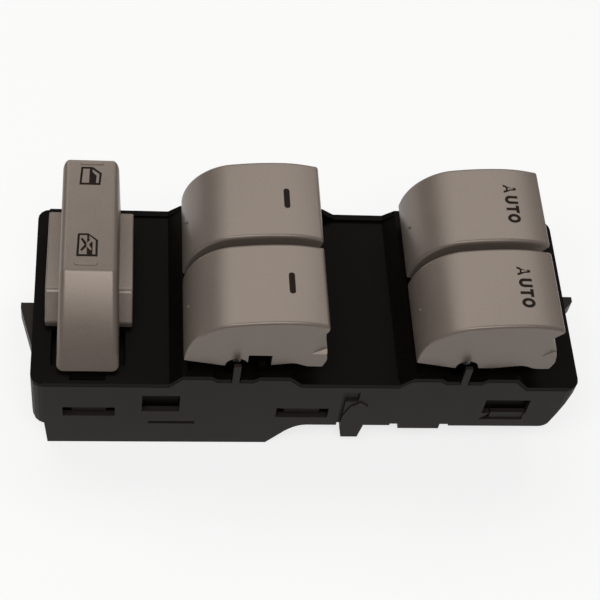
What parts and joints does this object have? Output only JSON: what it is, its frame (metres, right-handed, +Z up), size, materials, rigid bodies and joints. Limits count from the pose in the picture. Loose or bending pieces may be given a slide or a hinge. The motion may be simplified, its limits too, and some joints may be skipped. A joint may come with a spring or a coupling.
{
  "type": "power window switch",
  "caption": "Driver's door window switch: black moulded housing and deck, paired silver rocking paddles, a tall window lock rocker and a connector bay underneath.",
  "frame": {"origin": "middle of the footprint at the height of the connector bay's underside", "axes": "+X along the housing from the lock rocker towards the front pair of paddles, +Y across it away from the viewer, +Z up out of the deck"},
  "size_m": [0.1468, 0.0552, 0.054],
  "materials": {
    "silver_paint": "satin silver paint on plastic",
    "black_plastic": "satin black moulding",
    "charcoal_plastic": "satin dark charcoal moulding",
    "dark_nylon": "matt nylon",
    "pale_nylon": "natural nylon",
    "steel": "bright drawn steel",
    "copper": "bright rolled copper",
    "board_laminate": "green lacquered laminate"
  },
  "bodies": {
    "switch_body": {"base_housing": "charcoal_plastic", "board_screw_1": "steel", "board_screw_2": "steel", "board_screw_3": "steel", "board_screw_4": "steel", "circuit_board": "board_laminate", "connector_header": "black_plastic", "contact_guide_front": "dark_nylon", "contact_guide_lock": "dark_nylon", "contact_guide_rear": "dark_nylon", "pivot_pin_front": "steel", "pivot_pin_lock": "steel", "pivot_pin_rear": "steel", "spring_front_left_back": "steel", "spring_front_left_front": "steel", "spring_front_right_back": "steel", "spring_front_right_front": "steel", "spring_rear_left_back": "steel", "spring_rear_left_front": "steel", "spring_rear_right_back": "steel", "spring_rear_right_front": "steel", "top_cover": "black_plastic"},
    "rear_right_paddle": {"paddle_rear_right": "silver_paint", "carrier_rear_right": "dark_nylon"},
    "rear_right_contact": {"slider_rear_right": "pale_nylon", "wiper_rear_right": "copper"},
    "rear_left_paddle": {"paddle_rear_left": "silver_paint", "carrier_rear_left": "dark_nylon"},
    "rear_left_contact": {"slider_rear_left": "pale_nylon", "wiper_rear_left": "copper"},
    "front_right_paddle": {"paddle_front_right": "silver_paint", "carrier_front_right": "dark_nylon"},
    "front_right_contact": {"slider_front_right": "pale_nylon", "wiper_front_right": "copper"},
    "front_left_paddle": {"paddle_front_left": "silver_paint", "carrier_front_left": "dark_nylon"},
    "front_left_contact": {"slider_front_left": "pale_nylon", "wiper_front_left": "copper"},
    "lock_rocker": {"lock_rocker": "silver_paint", "lock_carrier": "dark_nylon"},
    "lock_contact": {"slider_lock": "pale_nylon", "wiper_lock": "copper"}
  },
  "joints": [
    {"name": "rear_right_tilt", "type": "hinge", "parent": "switch_body", "child": "rear_right_paddle", "pos_m": [-0.0191, 0, 0.0352], "axis": [0, 1, 0], "range_deg": [-5, 5], "stiffness_Nm_per_rad": 0.4, "deforming": ["spring_rear_right_back", "spring_rear_right_front"]},
    {"name": "rear_right_slide", "type": "slide", "parent": "switch_body", "child": "rear_right_contact", "axis": [1, 0, 0], "range_m": [-0.00125, 0.00125]},
    {"name": "rear_left_tilt", "type": "hinge", "parent": "switch_body", "child": "rear_left_paddle", "pos_m": [-0.0191, 0, 0.0352], "axis": [0, 1, 0], "range_deg": [-5, 5], "stiffness_Nm_per_rad": 0.4, "deforming": ["spring_rear_left_back", "spring_rear_left_front"]},
    {"name": "rear_left_slide", "type": "slide", "parent": "switch_body", "child": "rear_left_contact", "axis": [1, 0, 0], "range_m": [-0.00125, 0.00125]},
    {"name": "front_right_tilt", "type": "hinge", "parent": "switch_body", "child": "front_right_paddle", "pos_m": [0.0392, 0, 0.0352], "axis": [0, 1, 0], "range_deg": [-7, 7], "stiffness_Nm_per_rad": 0.4, "deforming": ["spring_front_right_back", "spring_front_right_front"]},
    {"name": "front_right_slide", "type": "slide", "parent": "switch_body", "child": "front_right_contact", "axis": [1, 0, 0], "range_m": [-0.00175, 0.00175]},
    {"name": "front_left_tilt", "type": "hinge", "parent": "switch_body", "child": "front_left_paddle", "pos_m": [0.0392, 0, 0.0352], "axis": [0, 1, 0], "range_deg": [-7, 7], "stiffness_Nm_per_rad": 0.4, "deforming": ["spring_front_left_back", "spring_front_left_front"]},
    {"name": "front_left_slide", "type": "slide", "parent": "switch_body", "child": "front_left_contact", "axis": [1, 0, 0], "range_m": [-0.00175, 0.00175]},
    {"name": "lock_tilt", "type": "hinge", "parent": "switch_body", "child": "lock_rocker", "pos_m": [-0.0559, -0.003, 0.0245], "axis": [1, 0, 0], "range_deg": [-7, 0]},
    {"name": "lock_slide", "type": "slide", "parent": "switch_body", "child": "lock_contact", "axis": [0, 1, 0], "range_m": [-0.00045, 0]}
  ],
  "couplings": [
    {"joint": "rear_right_slide", "follows": "rear_right_tilt", "m_per_rad": -0.014},
    {"joint": "rear_left_slide", "follows": "rear_left_tilt", "m_per_rad": -0.014},
    {"joint": "front_right_slide", "follows": "front_right_tilt", "m_per_rad": -0.014},
    {"joint": "front_left_slide", "follows": "front_left_tilt", "m_per_rad": -0.014},
    {"joint": "lock_slide", "follows": "lock_tilt", "m_per_rad": 0.0033}
  ]
}
